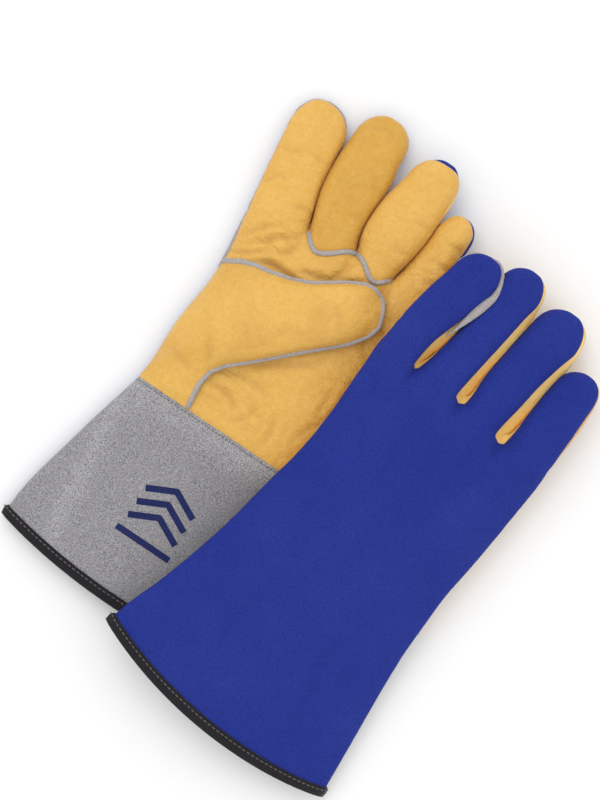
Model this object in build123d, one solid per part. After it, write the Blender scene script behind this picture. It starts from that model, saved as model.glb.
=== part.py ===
"""A pair of gauntlet welding gloves, lying one over the other.

The left glove lies palm up, and the right glove lies palm down with its inner edge on the left one.
Each glove is built palm up in its own frame: origin on the seam plane midway between the hem corners,
+X to the little finger, +Y to the fingertips and +Z out of the palm. The right glove is then turned over.
"""

import os
from dataclasses import dataclass
from math import radians, sin

from build123d import *

# Materials and seams
LEATHER = 1.4
LINING = 1.0
BINDING = 1.2
BINDING_WIDTH = 6.5
WELT_WIDTH = 3.0
WELT_HEIGHT = 2.6
JOINT_GAP = 0.4
PRESSED = 0.02  # how far the floor presses the lowest part of a back flat

# Hand and cuff, shared by both gloves
HEM_HALF_WIDTH = 88.0
HEM_BULGE = 12.0
WRIST_Y = 120.0
WAIST_Y = 170.0
BLOCK_REACH = 400.0
SIDE_SLOPE = 1.4  # run over rise of the sides, from the side seam to the flat of the palm or back
CUT_MARGIN = 2.0  # how far a cutting shape runs past what it cuts
BASE_WELT = ((-24, 0), (-15, -4), (-3, -4), (8, -2), (18, -5), (28, -5), (36, 0))  # x, and y from its top
BASE_WELT_GAP = 1.5
WELT_SINK = 0.2  # how deep a welt's root lies under the palm's surface

# Fingers
FINGER_SIDE = 3.5  # half the height of a fourchette, the strip between a finger's front and back
TIP_STATIONS = ((16.0, 1.0, 1.0), (5.0, 0.74, 0.8), (0.0, 0.38, 0.45))  # distance to tip, width, height
FOURCHETTE_END = 16.0  # distance from the fingertip
INDEX_WELT_END = 30.0  # from the fingertip, on the side towards the middle finger
INDEX_WELT_SIDE = 4.0  # how much of the width that end leaves bare

# Thumb, which lies across the palm
THUMB_HINGE_X = -40.0
THUMB_ROOT = (-50.0, -80.0)  # from the middle of the knuckle line
THUMB_LENGTH = 113.0
THUMB_ANGLE = -54.0
THUMB_ROOT_WIDTH = 56.0
THUMB_TIP_WIDTH = 37.0
WING_TOP = -43.0  # from the knuckle line
WING_CORNERS = ((THUMB_HINGE_X, -45.0), (THUMB_HINGE_X, -10.0), (-60.0, 0.0))  # x, and y from the wing's top
WING_SEAM = ((-28.0, WRIST_Y), (-29.0, 138.0))


@dataclass
class Finger:
    """A finger in its glove's frame: base centre, lean from +Y towards +X in degrees, and rest curl."""

    name: str
    base_x: float
    width: float
    length: float
    lean: float
    curl: float = 0.0
    fourchettes: tuple = ()


@dataclass
class Glove:
    """One glove's own sizes, at the hem, wrist, waist and knuckles in that order, and where it lies."""

    side: str
    inner_x: tuple
    outer_x: tuple
    palm_depth: tuple
    back_depth: tuple
    knuckle_y: float
    finger_palm: float
    finger_back: float
    thumb_thickness: float
    fingers: tuple
    palm_up: bool
    place: Location


LEFT = Glove(
    side="left",
    inner_x=(-HEM_HALF_WIDTH, -65.0, -64.0, -68.0),
    outer_x=(HEM_HALF_WIDTH, 63.0, 63.0, 67.0),
    palm_depth=(6.5, 12.0, 14.0, 14.0),
    back_depth=(5.0, 6.5, 7.0, 7.0),
    knuckle_y=252.0,
    finger_palm=11.0,
    finger_back=7.0,
    thumb_thickness=14.0,
    fingers=(
        Finger("index", -49.8, 34.5, 80.0, -8.0, fourchettes=(1,)),
        Finger("middle", -13.2, 33.5, 92.0, -6.0, fourchettes=(-1, 1)),
        Finger("ring", 21.4, 31.0, 88.0, 1.0, fourchettes=(-1, 1)),
        Finger("little", 52.8, 28.0, 66.0, 1.0, fourchettes=(-1,)),
    ),
    palm_up=True,
    place=Location((0, 0, 7.0), (0, 0, 3.25)),
)

RIGHT = Glove(
    side="right",
    inner_x=(-HEM_HALF_WIDTH, -68.0, -65.0, -74.0),
    outer_x=(HEM_HALF_WIDTH, 65.0, 63.0, 63.0),
    palm_depth=(4.5, 6.0, 7.0, 8.0),
    back_depth=(12.0, 14.0, 16.0, 15.0),
    knuckle_y=246.0,
    finger_palm=8.0,
    finger_back=11.0,
    thumb_thickness=12.0,
    fingers=(
        Finger("index", -58.4, 29.5, 83.0, 2.5, 3.0, fourchettes=(1,)),
        Finger("middle", -25.2, 31.5, 92.0, 2.5, 4.0, fourchettes=(-1, 1)),
        Finger("ring", 9.5, 33.0, 88.0, 2.0, 5.0, fourchettes=(-1, 1)),
        Finger("little", 45.2, 32.5, 67.0, 0.5, 5.0, fourchettes=(-1,)),
    ),
    palm_up=False,
    place=Location((93.0, -20.6, 18.6), (2.2, 7.0, -3.25)),
)

GLOVES = (LEFT, RIGHT)


# Sections and tubes ---------------------------------------------------------------------------------


def inset(points, distance):
    """A convex outline, given anticlockwise, moved inwards by a distance (outwards if it is negative)."""
    lines = []
    for (ax, az), (bx, bz) in zip(points, points[1:] + points[:1]):
        length = ((bx - ax) ** 2 + (bz - az) ** 2) ** 0.5
        nx, nz = -(bz - az) / length, (bx - ax) / length
        lines.append((nx, nz, nx * ax + nz * az + distance))
    moved = []
    for (a, b, c), (d, e, f) in zip(lines[-1:] + lines[:-1], lines):
        det = a * e - b * d
        moved.append(((c * e - b * f) / det, (a * f - c * d) / det))
    return moved


def tube(stations, distance=0.0, tip_distance=0.0):
    """A solid with flat faces through outlines at stations along +Y, each outline inset by a distance."""
    faces = []
    for k, (y, outline) in enumerate(stations):
        last = k == len(stations) - 1
        plane = Plane(origin=(0, y - (tip_distance if last else 0.0), 0), x_dir=(1, 0, 0), z_dir=(0, -1, 0))
        points = [plane.from_local_coords((x, z, 0)) for x, z in inset(outline, distance)]
        faces.append(make_face(Polyline(*points, close=True).edges()))
    return loft(faces, ruled=True)


def block(x0, x1, y0, y1, z0=-BLOCK_REACH, z1=BLOCK_REACH):
    """A box between two corners."""
    return Pos((x0 + x1) / 2, (y0 + y1) / 2, (z0 + z1) / 2) * Box(x1 - x0, y1 - y0, z1 - z0)


def above(z, side=1):
    """Half of all space: over the level z, or under it where side is -1."""
    low, high = (z, BLOCK_REACH) if side > 0 else (-BLOCK_REACH, z)
    return block(-BLOCK_REACH, BLOCK_REACH, -BLOCK_REACH, 2 * BLOCK_REACH, low, high)


def prism(points, z0=-BLOCK_REACH, z1=BLOCK_REACH):
    """An upright prism over an outline in plan."""
    return Pos(0, 0, z0) * extrude(Polygon(*points, align=None), z1 - z0, dir=(0, 0, 1))


def solids_of(shape):
    """One shape that holds all the separate solids of a result."""
    return Compound(children=[Solid(s.wrapped) for s in shape.solids()])


def band(points, width, z0, z1):
    """A flat strip of one width along a line in plan, with mitred corners."""
    sides = ([], [])
    for k, (x, y) in enumerate(points):
        before = points[max(k - 1, 0)]
        after = points[min(k + 1, len(points) - 1)]
        turn = []
        for (ax, ay), (bx, by) in ((before, (x, y)), ((x, y), after)):
            length = ((bx - ax) ** 2 + (by - ay) ** 2) ** 0.5
            if length:
                turn.append((-(by - ay) / length, (bx - ax) / length))
        nx = sum(n[0] for n in turn) / len(turn)
        ny = sum(n[1] for n in turn) / len(turn)
        reach = width / 2 / (nx * nx + ny * ny)
        sides[0].append((x + nx * reach, y + ny * reach))
        sides[1].append((x - nx * reach, y - ny * reach))
    return prism(sides[0] + sides[1][::-1], z0, z1)


# The hand and cuff -----------------------------------------------------------------------------------


def hand_section(inner, outer, palm, back):
    """The glove's cross-section: flat palm and back, sloping to a side seam at each edge."""
    return [
        (inner, 0.0),
        (inner + SIDE_SLOPE * back, -back),
        (outer - SIDE_SLOPE * back, -back),
        (outer, 0.0),
        (outer - SIDE_SLOPE * palm, palm),
        (inner + SIDE_SLOPE * palm, palm),
    ]


def hand_stations(glove, top_y, extra=0.0):
    """Sections of hand and cuff from below the hem to top_y."""
    ys = (0.0, WRIST_Y, WAIST_Y, glove.knuckle_y)
    rows = list(zip(ys, glove.inner_x, glove.outer_x, glove.palm_depth, glove.back_depth))
    below = rows[0]
    step = (HEM_BULGE + 3 * BINDING + extra) / WRIST_Y
    low = [below[k] - step * (rows[1][k] - below[k]) for k in range(5)]
    rows = [low] + rows[1:]
    rows[-1] = (top_y,) + rows[-1][1:]
    return [(y, hand_section(a, b, p, q)) for y, a, b, p, q in rows]


def hem_line(shift=0.0):
    """The hem's outline in plan, bowed outwards, moved along +Y by a shift."""
    shares = (-1.6, -1.0, -0.6, -0.2, 0.2, 0.6, 1.0, 1.6)
    return [(s * HEM_HALF_WIDTH, -HEM_BULGE * (1 - s * s) + shift) for s in shares]


def past_hem(shift=0.0):
    """Everything on the finger side of the hem line."""
    line = hem_line(shift)
    return prism([(line[-1][0], 2 * BLOCK_REACH), (line[0][0], 2 * BLOCK_REACH)] + line)


def wing_region(glove):
    """The part of the palm side, in plan, that the thumb's wing covers."""
    top = glove.knuckle_y + WING_TOP
    outer = -HEM_HALF_WIDTH
    corners = [(x, top + y) for x, y in WING_CORNERS]
    return prism([(outer, WRIST_Y), *WING_SEAM, *corners, (outer, top)])


def hand_pieces(glove):
    """Panels, linings, binding and welts that belong to the hand and cuff."""
    top = glove.knuckle_y - JOINT_GAP
    shapes = {
        d: tube(hand_stations(glove, top + (CUT_MARGIN if d > 0 else 0)), d)
        for d in (0.0, LEATHER, LEATHER + LINING)
    }
    past = past_hem()
    leather = (shapes[0.0] - shapes[LEATHER]) & past
    lining = (shapes[LEATHER] - shapes[LEATHER + LINING]) & past
    lining = lining & block(-BLOCK_REACH, BLOCK_REACH, -BLOCK_REACH, top)
    cuff = block(-BLOCK_REACH, BLOCK_REACH, -BLOCK_REACH, WRIST_Y)
    palm_side = leather & above(0)
    hand_palm = palm_side - cuff

    wrap = tube(hand_stations(glove, top, extra=CUT_MARGIN), -BINDING)
    hollow = tube(hand_stations(glove, top + CUT_MARGIN, extra=2 * CUT_MARGIN), LEATHER + LINING + BINDING)
    ribbon = ((wrap - hollow) & past_hem(-BINDING)) - past_hem(BINDING_WIDTH)
    binding = ribbon - ((shapes[0.0] - shapes[LEATHER + LINING]) & past)

    surface = min(glove.palm_depth[2:]) - WELT_SINK
    base_line = [(x, top - BASE_WELT_GAP + y) for x, y in BASE_WELT]
    base_welt = band(base_line, WELT_WIDTH, surface, surface + WELT_HEIGHT)
    wing_welt = band(WING_SEAM, WELT_WIDTH, 0, surface + WELT_HEIGHT)
    solid_hand = shapes[0.0]
    return {
        "back_panel": leather & above(0, -1) & above(PRESSED - max(glove.back_depth)),
        "cuff_panel": palm_side & cuff,
        "palm_panel": hand_palm - wing_region(glove),
        "thumb_wing": hand_palm & wing_region(glove),
        "hand_lining": lining - cuff,
        "cuff_lining": lining & cuff,
        "hem_binding": binding,
        "finger_base_welt": base_welt - solid_hand,
        "wing_welt": wing_welt - solid_hand,
    }


# Fingers and thumb -----------------------------------------------------------------------------------


def finger_section(width, palm, back, side):
    """A finger's cross-section: flat front and back, bevelled edges and upright sides."""
    half = width / 2
    points = [
        (-half, -side),
        (-half + back - side, -back),
        (half - back + side, -back),
        (half, -side),
        (half, side),
        (half - palm + side, palm),
        (-half + palm - side, palm),
        (-half, side),
    ]
    return [p for k, p in enumerate(points) if p != points[k - 1]]


def finger_stations(length, root_width, tip_width, palm, back, side):
    """Sections from the base to the rounded tip."""
    rows = [(0.0, root_width, 1.0)] + [(length - d, tip_width * w, h) for d, w, h in TIP_STATIONS]
    return [(y, finger_section(w, palm * h, back * h, side * h)) for y, w, h in rows]


def digit_shells(stations):
    """The leather and lining of a finger or thumb that is closed at its tip and open at its base."""
    longer = [(-CUT_MARGIN, stations[0][1])] + stations[1:]
    outer = tube(stations)
    middle = tube(longer, LEATHER, LEATHER)
    inner = tube(longer, LEATHER + LINING, LEATHER + LINING)
    forward = block(-BLOCK_REACH, BLOCK_REACH, 0, BLOCK_REACH)
    return outer - middle, (middle - inner) & forward


def seam_welt(stations):
    """A welt that stands out of the seam all round a finger or thumb."""
    outer = tube(stations, -WELT_HEIGHT / 2, -WELT_HEIGHT / 2)
    ring = outer - tube(stations)
    return ring & above(-WELT_HEIGHT / 2) & above(WELT_HEIGHT / 2, -1)


def finger_pieces(glove, finger):
    """Front, back, fourchettes and lining of one finger, with its base at the origin and along +Y."""
    sizes = (finger.length, finger.width, finger.width, glove.finger_palm, glove.finger_back)
    stations = finger_stations(*sizes, FINGER_SIDE)
    leather, lining = digit_shells(stations)
    strips = []
    for side in finger.fourchettes:
        edge = side * (finger.width / 2 - LEATHER)
        x0, x1 = sorted((edge, side * BLOCK_REACH))
        strips.append(leather & block(x0, x1, 0, finger.length - FOURCHETTE_END, -FINGER_SIDE, FINGER_SIDE))
    rest = leather
    for strip in strips:
        rest = rest - strip
    pieces = {
        "front": rest & above(0),
        "back": rest & above(0, -1),
        "fourchette" if len(strips) == 1 else "fourchettes": Compound(children=[s.solid() for s in strips]),
        "lining": lining,
    }
    if finger.name == "index":
        edge = finger.width / 2 - INDEX_WELT_SIDE
        far_side = block(edge, BLOCK_REACH, -BLOCK_REACH, finger.length - INDEX_WELT_END)
        pieces["welt"] = seam_welt(stations) - far_side
    return pieces


def finger_place(glove, finger):
    """Where a finger's base lies in its glove's frame: turned about the hinge on its palm side."""
    corner = finger.width / 2 * abs(sin(radians(finger.lean)))
    hinge = Location((finger.base_x, glove.knuckle_y + corner, glove.finger_palm))
    turn = Location((0, 0, 0), (0, 0, -finger.lean)) * Location((0, 0, 0), (finger.curl, 0, 0))
    return hinge * turn * Location((0, 0, -glove.finger_palm))


def thumb_level(glove):
    """The height of the thumb's underside, just clear of the palm."""
    return max(glove.palm_depth[2:]) + JOINT_GAP


def thumb_pieces(glove):
    """Front, back, welt and lining of the thumb, in the glove's frame."""
    half = glove.thumb_thickness / 2
    root = (THUMB_ROOT[0], glove.knuckle_y + THUMB_ROOT[1], thumb_level(glove) + half)
    lay = Location(root, (0, 0, THUMB_ANGLE))
    stations = finger_stations(THUMB_LENGTH, THUMB_ROOT_WIDTH, THUMB_TIP_WIDTH, half, half, 0.0)
    leather, lining = digit_shells(stations)
    free = block(THUMB_HINGE_X + JOINT_GAP, BLOCK_REACH, -BLOCK_REACH, BLOCK_REACH)
    pieces = {
        "front": leather & above(0),
        "back": leather & above(0, -1),
        "welt": seam_welt(stations),
        "lining": lining,
    }
    return {name: (lay * shape) & free for name, shape in pieces.items()}


# The pair --------------------------------------------------------------------------------------------


def glove_pieces(glove):
    """Every piece of one glove in its own frame, as {body: {node: solids}}."""
    side = glove.side
    bodies = {f"{side}_hand": {f"{side}_{n}": s for n, s in hand_pieces(glove).items()}}
    bodies[f"{side}_thumb"] = {f"{side}_thumb_{n}": s for n, s in thumb_pieces(glove).items()}
    for finger in glove.fingers:
        place = finger_place(glove, finger)
        pieces = finger_pieces(glove, finger).items()
        bodies[f"{side}_{finger.name}"] = {f"{side}_{finger.name}_{n}": place * s for n, s in pieces}
    return bodies


def laid(glove, shape):
    """A shape moved from the glove's own frame to where the glove lies."""
    turned = shape if glove.palm_up else mirror(shape, about=Plane.XY)
    return glove.place * turned


def build():
    """All pieces where they lie, as {body: {node: shape}}, and the shift that centres the pair."""
    bodies = {}
    for glove in GLOVES:
        for body, pieces in glove_pieces(glove).items():
            bodies[body] = {node: laid(glove, solids_of(s)) for node, s in pieces.items()}
    box = Compound(children=[s for pieces in bodies.values() for s in pieces.values()]).bounding_box()
    shift = Vector(-box.center().X, -box.center().Y, -box.min.Z)
    moved = {
        body: {node: Location(shift) * shape for node, shape in pieces.items()}
        for body, pieces in bodies.items()
    }
    return moved, shift


def main():
    os.makedirs("parts", exist_ok=True)
    bodies, _ = build()
    for pieces in bodies.values():
        for node, shape in pieces.items():
            export_step(solids_of(shape), f"parts/{node}.step")


if __name__ == "__main__":
    main()
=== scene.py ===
"""The looks of a pair of gauntlet welding gloves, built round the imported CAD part.

Each glove is drawn palm up in its own frame, in millimetres: origin midway between the hem corners,
+X to the little finger, +Y to the fingertips, +Z out of the palm. The right glove is then turned over.
"""

from math import pi, radians

import bpy
import numpy as np
from mathutils import Matrix, Vector, kdtree
from mathutils.bvhtree import BVHTree


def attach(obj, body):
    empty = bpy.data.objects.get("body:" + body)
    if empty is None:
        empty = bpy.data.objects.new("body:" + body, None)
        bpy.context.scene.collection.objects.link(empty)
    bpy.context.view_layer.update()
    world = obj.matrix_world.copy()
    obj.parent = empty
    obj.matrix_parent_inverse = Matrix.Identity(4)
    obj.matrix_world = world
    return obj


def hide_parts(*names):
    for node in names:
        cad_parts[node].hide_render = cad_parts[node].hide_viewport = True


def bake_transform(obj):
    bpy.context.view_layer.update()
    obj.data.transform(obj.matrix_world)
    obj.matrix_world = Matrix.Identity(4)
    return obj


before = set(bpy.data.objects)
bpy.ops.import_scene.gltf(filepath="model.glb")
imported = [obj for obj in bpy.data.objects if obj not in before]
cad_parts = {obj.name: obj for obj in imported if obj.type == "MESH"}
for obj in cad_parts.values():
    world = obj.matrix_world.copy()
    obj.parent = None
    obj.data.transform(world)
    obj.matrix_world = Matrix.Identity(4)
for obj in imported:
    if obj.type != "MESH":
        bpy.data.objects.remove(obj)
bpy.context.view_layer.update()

MM = 0.001

# The move that centres the pair, as in the CAD part
SHIFT = Vector((-43.743, -154.859, 0.0))

# Mesh steps
FINGER_COLUMNS = 20
BAND_COLUMNS = 4
CUFF_ROWS = 60
PALM_ROWS = 72
FINGER_ROWS = 36
TIP_ROWS = 12
THUMB_ROWS = 64
THUMB_COLUMNS = 26
HEM_ROWS = 3
EDGE_WELT_ROW = CUFF_ROWS + 48

# Sizes both gloves share
WRIST_Y = 120.0
LEATHER = 2.0  # leather and lining together
FLOOR_CONTACT = -6.9  # where the left glove rests, in its own frame
HINGE_Y = {"left": 252.0, "right": 246.0}
HINGE_REACH = 18.0  # the span of a digit's hinge, from which piece works out ends that it does not use
THUMB_HINGE_X = -40.0
THUMB_HINGE_Y = 180.0
WING_SPLIT_Y = 141.0  # where the thumb's welt ends and its wing's begins, on the left glove
FAN_LENGTH = 60.0  # the length over which the palm's columns fan out to the fingers
STRIP_EDGE = {"palm": 4.2, "back": -3.6}  # heights of the side strips' edges
FINGER_ROUND = 3.0
SWELL = 1 / 2.2
BINDING_WIDTH = 6.0
WELT_STEP = 1.6
DIGITS = ("index", "middle", "ring", "little")
SIDES = (("palm", 1), ("back", -1))

# Edges, slits and depths are (y, x) or (y, z) pairs from the hem or the crotch to the fingertips. Bases are
# (share across the hand, y) pairs. A slit has the outer edge of the finger before it, then that edge on the
# palm side if it differs, and last the inner edge of the finger after it. A list of four is for the
# fingers from index to little, and curls and rolls are degrees. A place is a move and then turns in
# degrees about x, y and z, as in the CAD part.
LEFT = {
    "side": "left",
    "place": ((0, 0, 7), (0, 0, 3.25)),
    "hem_bulge": 9.5,
    "inner_edge": [(0, -89), (16, -89), (36, -85.8), (57, -81), (79, -76.3), (100, -71.2), (120, -66),
        (129, -64.4), (143, -65), (159, -65.8), (172, -65), (193, -62.5), (210, -62.5),
        (226, -64.5), (242, -68)],
    "outer_edge": [(0, 88), (40, 80), (80, 73), (120, 65), (150, 64), (200, 65), (235, 64), (252, 66)],
    "palm_depth": [(0, 7), (120, 11.5), (170, 13.5), (250, 13)],
    "back_depth": [(0, 5), (120, 6.5), (170, 7), (250, 7)],
    "palm_round": 3.4,
    "back_round": 6,
    "palm_base": [(0, 247), (0.2, 254), (0.25, 259), (0.29, 249), (0.33, 246.5), (0.38, 249.5),
        (0.45, 258), (0.49, 262), (0.53, 261), (0.58, 257.5), (0.63, 252.5), (0.68, 251.5),
        (0.71, 254), (0.75, 262), (0.8, 258), (1, 250)],
    "back_base": [(0, 247), (0.25, 248), (0.5, 250), (0.75, 247), (1, 250)],
    "crotches": (-27.5, 6.5, 34),
    "finger_palm": (13, 11.5),
    "finger_back": (6.6, 6.8),
    "slits": [
        ([(258, -28), (270, -32), (283, -36.3), (309, -39.4)],
         [(258, -28), (270, -32), (283, -36.3), (300, -38.4), (312, -38.6), (325, -38.2)]),
        ([(260, 6.5), (267, 3), (274, 1.2), (283, 0), (292, 0), (304, 0.6), (311, 0), (322, -2.6)],
         [(260, 6.5), (267, 3), (274, 1.2), (283, 0), (292, 0), (304, 1), (311, 3), (322, 5.4)]),
        ([(261, 34), (276, 37.2), (295, 40), (314, 38.6)],
         [(261, 34), (276, 37.2), (295, 40), (314, 39.5)]),
    ],
    "index_edge": [(242, -68), (265, -72), (292, -76.2), (309, -78.4)],
    "little_edge": [(250, 66), (262, 66), (285, 65.8), (298, 64)],
    "tips": [(-61.5, 331.5), (-20.3, 345.6), (23, 338.6), (50.3, 318.2)],
    "blunt": (0.88, 0.88, 0.62, 0.88),
    "curls": (0, 2, 9, 9),
    "rolls": (0, 3, 11, 28),
    "lips": (0, 0, 2.8, 0),
    "spill": 0,
    "valley": {"palm": 36, "back": 24},
    "thumb_height": 13,
    "root_inset": 0.4,
}

RIGHT = {
    "side": "right",
    "place": ((93, -20.6, 18.6), (2.2, 7, -3.25)),
    "hem_bulge": 13.5,
    "inner_edge": [(0, -88.5), (16, -86.5), (38, -80.5), (64, -75.5), (92, -71.5), (116, -69.5),
        (134, -68.5), (151, -66.5), (170, -66), (192, -67), (213, -69.5), (226, -70.5),
        (241, -72.5)],
    "outer_edge": [(0, 90), (6, 89.2), (45, 81.6), (75, 75.6), (102, 71), (146, 66.8), (170, 67.4),
        (204, 67.2), (241, 65.6), (253, 64)],
    "palm_depth": [(0, 4.5), (120, 6), (170, 7), (250, 8)],
    "back_depth": [(0, 11), (60, 13), (120, 14), (170, 16), (250, 15)],
    "palm_round": 4,
    "back_round": 2.8,
    "palm_base": [(0, 244), (0.25, 252), (0.33, 246), (0.42, 246), (0.5, 253), (0.59, 250), (0.67, 248),
        (0.75, 252), (1, 246)],
    "back_base": [(0, 244), (0.25, 243.5), (0.5, 245), (0.75, 242), (1, 246)],
    "crotches": (-44, -8.8, 27),
    "finger_palm": (8, 8),
    "finger_back": (14.6, 11),
    "slits": [
        ([(243, -46), (258, -46.3), (268, -45), (283, -41), (297, -38.5), (310, -36)],
         [(246, -42), (257, -39.5), (272, -37), (288, -35), (300, -33), (314, -31.5)],
         [(246, -42.5), (257, -40.5), (272, -38.5), (288, -37.5), (310, -38.5), (322, -39)]),
        ([(246, -13), (255, -13), (271, -12), (294, -10.5), (313, -10), (325, -8.5)],
         [(250, -4), (256, -4), (265, -5.3), (281, -4.7), (299, -3.9), (313, -5), (325, -7.6)],
         [(250, -5.5), (256, -5.5), (265, -6.8), (281, -6.2), (299, -5.4), (315, -4.7)]),
        ([(245, 22), (252, 21.8), (267, 23.5), (285, 24.4), (305, 27.2), (320, 30.4)],
         [(248, 31.5), (255, 32), (285, 32.2), (304, 32.4), (320, 31.6)],
         [(248, 30), (255, 30.5), (285, 30.5), (304, 31)]),
    ],
    "index_edge": [(241, -72.5), (256, -72.7), (274, -72.3), (291, -70.3), (306, -68)],
    "little_edge": [(253, 64), (271, 63), (286, 61.6), (297, 60.3)],
    "tips": [(-47.5, 327.5), (-22, 338.5), (15, 334.5), (47.5, 311.5)],
    "blunt": (0.88, 0.88, 0.82, 0.88),
    "curls": (1.2, 4.4, 5, 5),
    "rolls": (-12, -10, -10, -14),
    "lips": (0, 0, 0, 0),
    "spill": 3,
    "valley": {"palm": 30, "back": 18},
    "thumb_height": 11,
    "root_inset": 2.6,
}

# The thumb's outline over the palm: both long edges from the root to the tip, and the points round the tip
THUMB_UPPER = [(-63, 210), (-52, 216), (-43, 219), (-32, 220.5), (-19, 224), (-7, 229), (3, 236), (13, 243),
    (22, 247.5), (29, 248.3)]
THUMB_LOWER = [(-28, 120), (-29.3, 128), (-30.5, 138), (-29, 148), (-23, 156.5), (-11.6, 167), (0, 178.5),
    (11, 189.5), (22.6, 200.5), (33.5, 211)]
THUMB_TIP = [(41.3, 222), (43.6, 230), (40.8, 238), (36.5, 245)]

# Folds pressed into the leather: x0, y0, x1, y1, depth, width
PALM_FOLDS = [
    (-66, 218, -38, 231, 1.3, 2), (-66, 224, -36, 240, 1, 2.2), (-65, 230, -42, 248, 0.8, 2),
    (-30, 250, -46, 236, 0.9, 2), (-26, 249, -34, 232, 0.8, 1.8), (6, 255, 3, 240, 0.7, 1.8),
    (34, 256, 40, 238, 0.7, 2), (46, 148, 51, 196, 0.9, 2.2), (40, 140, 43, 182, 0.6, 2),
    (-27, 146, -2, 136, 1.1, 2.6), (-26, 152, 10, 158, 0.8, 2.6), (2, 128, 8, 150, 0.5, 2.4),
    (22, 124, 24, 150, 0.6, 2.2), (56, 205, 36, 222, 0.8, 2.6), (60, 222, 44, 232, 0.8, 2.2),
    (-12, 158, 26, 196, 0.8, 3), (62, 170, 48, 168, 0.5, 2), (-44, 222, -14, 228, 2.2, 2),
    (-18, 229, 6, 242, 1.5, 2.2), (2, 240, 26, 252, 1.3, 2.2),
    # and on the fronts of the fingers
    (-74, 290, -58, 296, 0.5, 2.2), (-71, 268, -56, 276, 0.6, 2.4), (-38, 300, -52, 296, 0.5, 2),
    (-30, 268, -44, 262, 0.8, 2), (-34, 296, -22, 292, 0.5, 2.2), (0, 300, -14, 304, 0.6, 2.2),
    (-33, 333, -10, 337, 0.6, 1.8), (2, 276, -12, 280, 0.6, 2.2), (12, 326, 30, 327, 0.3, 1.8),
    (38, 300, 24, 296, 0.6, 2.2), (36, 276, 22, 280, 0.5, 2.2), (66, 268, 50, 272, 0.9, 2.2),
    (66, 280, 51, 286, 0.9, 2.2), (65, 293, 50, 299, 0.8, 2), (41, 280, 50, 283, 0.5, 2),
]
BACK_FOLDS = [
    (-66, 150, -40, 160, 0.5, 4), (64, 140, 40, 150, 0.6, 4), (66, 190, 44, 196, 0.5, 4),
    (-70, 226, -52, 214, 0.5, 4), (-30, 90, -22, 30, 0.4, 6), (34, 100, 40, 20, 0.4, 6),
]
WING_FOLDS = [
    (-60, 205, -30, 200, 0.4, 2), (-62, 190, -26, 192, 0.3, 2.2), (-34, 150, -46, 176, 0.6, 2.2),
    (-40, 140, -58, 150, 0.4, 2), (-6, 190, 8, 204, 0.3, 2.4), (12, 226, 26, 214, 0.3, 2.2),
]
# Where the palm is finely crumpled: x, y, reach
CRUMPLED = [
    (54, 160, 18), (52, 195, 20), (56, 225, 16), (-52, 232, 16),
    (-36, 244, 12), (4, 244, 12), (36, 244, 12),
    (-24, 146, 16), (6, 138, 14), (-50, 150, 14), (60, 275, 14), (-30, 262, 10), (6, 270, 8), (38, 270, 8),
]


# Curves and noise ------------------------


def smoothstep(value, low=0.0, high=1.0):
    """0 below low, 1 above high, and smooth between."""
    t = np.clip((value - low) / (high - low), 0, 1)
    return t * t * (3 - 2 * t)


def mix(a, b, share):
    """From a at share 0 to b at share 1."""
    return a + (b - a) * share


def unit(vectors):
    """Vectors scaled to length 1."""
    return vectors / np.maximum(np.linalg.norm(vectors, axis=-1, keepdims=True), 1e-9)


def soft_table(points, spread=5.0):
    """A smoothed function through (position, value) pairs, held level beyond them."""
    keys, values = np.array(points, float).T
    step = (keys[-1] - keys[0]) / 200
    reach = int(3 * spread / step)
    kernel = np.exp(-0.5 * (np.arange(-reach, reach + 1) * step / spread) ** 2)
    grid = np.linspace(keys[0] - reach * step, keys[-1] + reach * step, 201 + 2 * reach)
    slopes = np.diff(values) / np.diff(keys)
    line = np.interp(grid, keys, values)
    line = line + np.minimum(grid - keys[0], 0) * slopes[0] + np.maximum(grid - keys[-1], 0) * slopes[-1]
    smooth = np.convolve(line, kernel / kernel.sum(), mode="same")
    inside = slice(reach, len(grid) - reach)
    return lambda at: np.interp(at, grid[inside], smooth[inside])


def waves(x, y, size, seed):
    """Smooth noise from -1 to 1 whose features are about size across."""
    rng = np.random.default_rng(seed)
    total = np.zeros_like(x)
    for _ in range(14):
        angle, phase = rng.uniform(0, 2 * pi, 2)
        length = size * rng.uniform(0.7, 1.6)
        total += np.sin((x * np.cos(angle) + y * np.sin(angle)) * 2 * pi / length + phase)
    return total / 5.0


def folds(x, y, marks):
    """Height of creases in leather: a valley along each mark with a soft ridge on both sides."""
    height = np.zeros_like(x)
    for x0, y0, x1, y1, depth, width in marks:
        dx, dy = x1 - x0, y1 - y0
        t = ((x - x0) * dx + (y - y0) * dy) / (dx * dx + dy * dy)
        sway = 1.6 * np.sin(t * 5 + x0) * width / 2
        across = ((x - x0) * dy - (y - y0) * dx) / np.hypot(dx, dy) + sway
        fade = smoothstep(t, -0.15, 0.3) * (1 - smoothstep(t, 0.7, 1.15))
        valley = np.exp(-((across / width) ** 2))
        ridge = np.exp(-(((np.abs(across) - 2.1 * width) / (1.2 * width)) ** 2))
        height += fade * depth * (0.45 * ridge - valley)
    return height


# Meshes ------------------------


def grid_quads(rows, columns, start=0):
    """Quads of a grid of points laid out row by row."""
    i, j = np.meshgrid(np.arange(rows - 1), np.arange(columns - 1), indexing="ij")
    a = start + (i * columns + j).ravel()
    return np.stack([a, a + 1, a + columns + 1, a + columns], axis=1)


def panel_of(label):
    """The panel a label is cut from, where several labels are one piece of leather."""
    if label in ("palm_panel", "index_front", "little_front"):
        return "palm"
    return "back" if label.endswith("_back") or label == "back_panel" else label


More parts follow.
